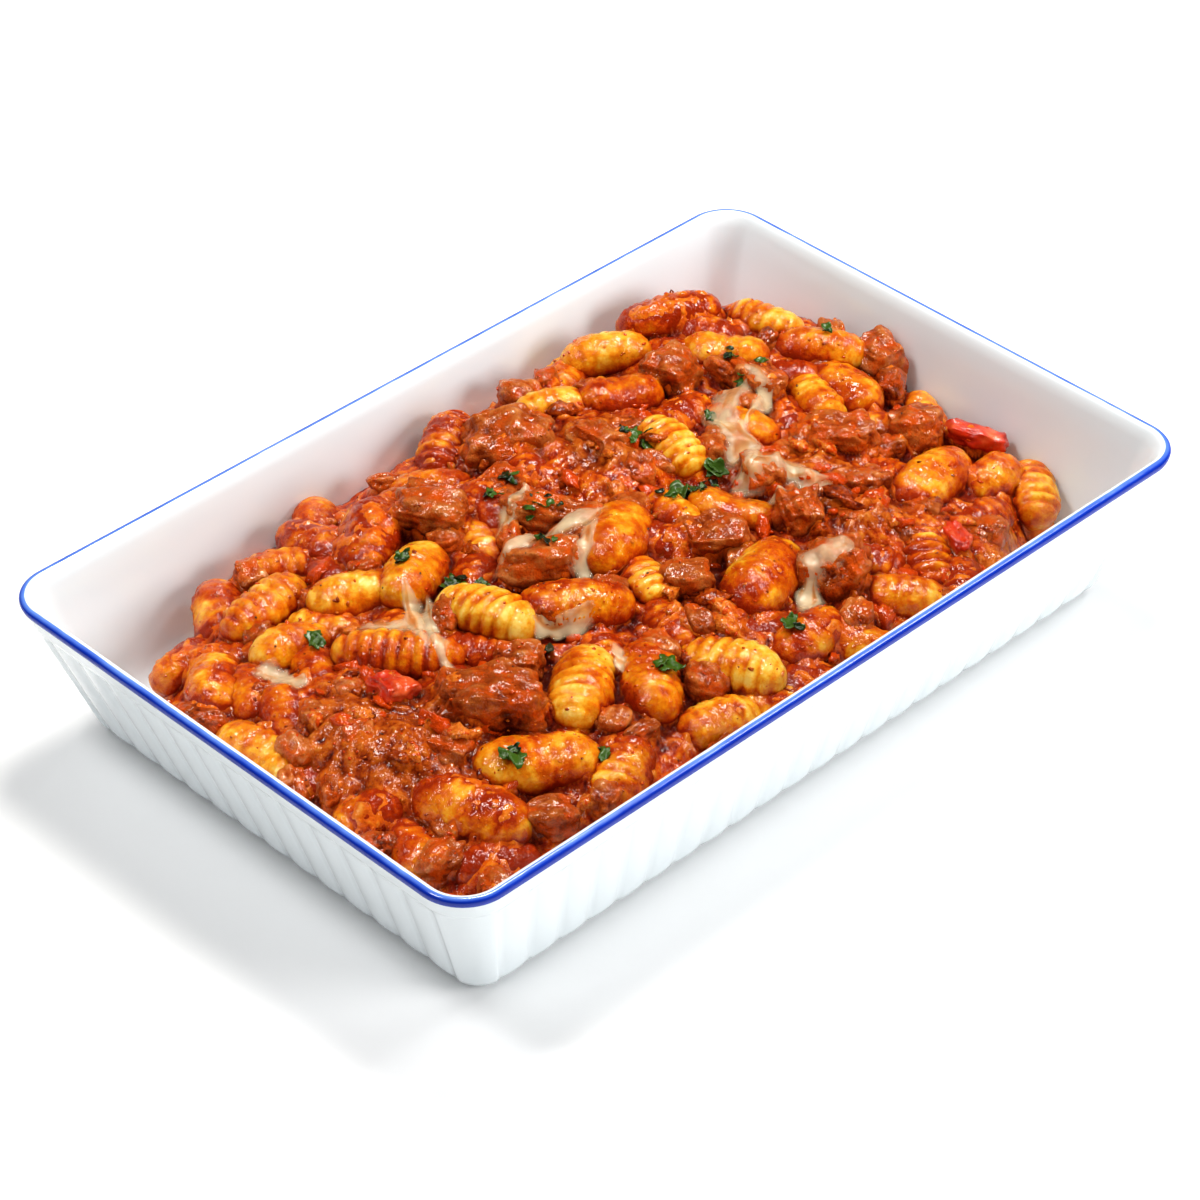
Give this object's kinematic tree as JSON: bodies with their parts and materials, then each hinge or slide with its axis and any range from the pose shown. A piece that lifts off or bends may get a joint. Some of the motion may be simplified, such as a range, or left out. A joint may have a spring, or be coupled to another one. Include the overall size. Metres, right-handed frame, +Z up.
{
  "type": "potato gnocchi in a baking dish",
  "caption": "Rectangular fluted white baking dish with a blue rim, filled with ridged potato gnocchi, beef and tomato sauce under melted cheese and parsley.",
  "frame": {"origin": "on the table under the middle of the dish", "axes": "+X along the dish's long side, +Y across it, +Z up out of the dish"},
  "size_m": [0.29, 0.188, 0.05],
  "materials": {
    "porcelain": "gloss white glaze with a cobalt blue rim",
    "gnocchi_in_sauce": "wet cooked dough in tomato sauce, glossy",
    "beef": "braised meat under a wet film of sauce",
    "tomato": "wet cooked tomato flesh"
  },
  "bodies": {
    "root": {"dish": "porcelain", "gnocchi_heap": "gnocchi_in_sauce", "beef_1": "beef", "beef_2": "beef", "beef_3": "beef", "beef_4": "beef", "beef_5": "beef", "beef_6": "beef", "beef_7": "beef", "beef_8": "beef", "beef_9": "beef", "beef_10": "beef", "beef_11": "beef", "beef_12": "beef", "beef_13": "beef", "beef_14": "beef", "beef_15": "beef", "beef_16": "beef", "beef_17": "beef", "beef_18": "beef", "beef_19": "beef", "beef_20": "beef", "beef_21": "beef", "tomato_1": "tomato", "tomato_2": "tomato", "tomato_3": "tomato"}
  },
  "joints": []
}
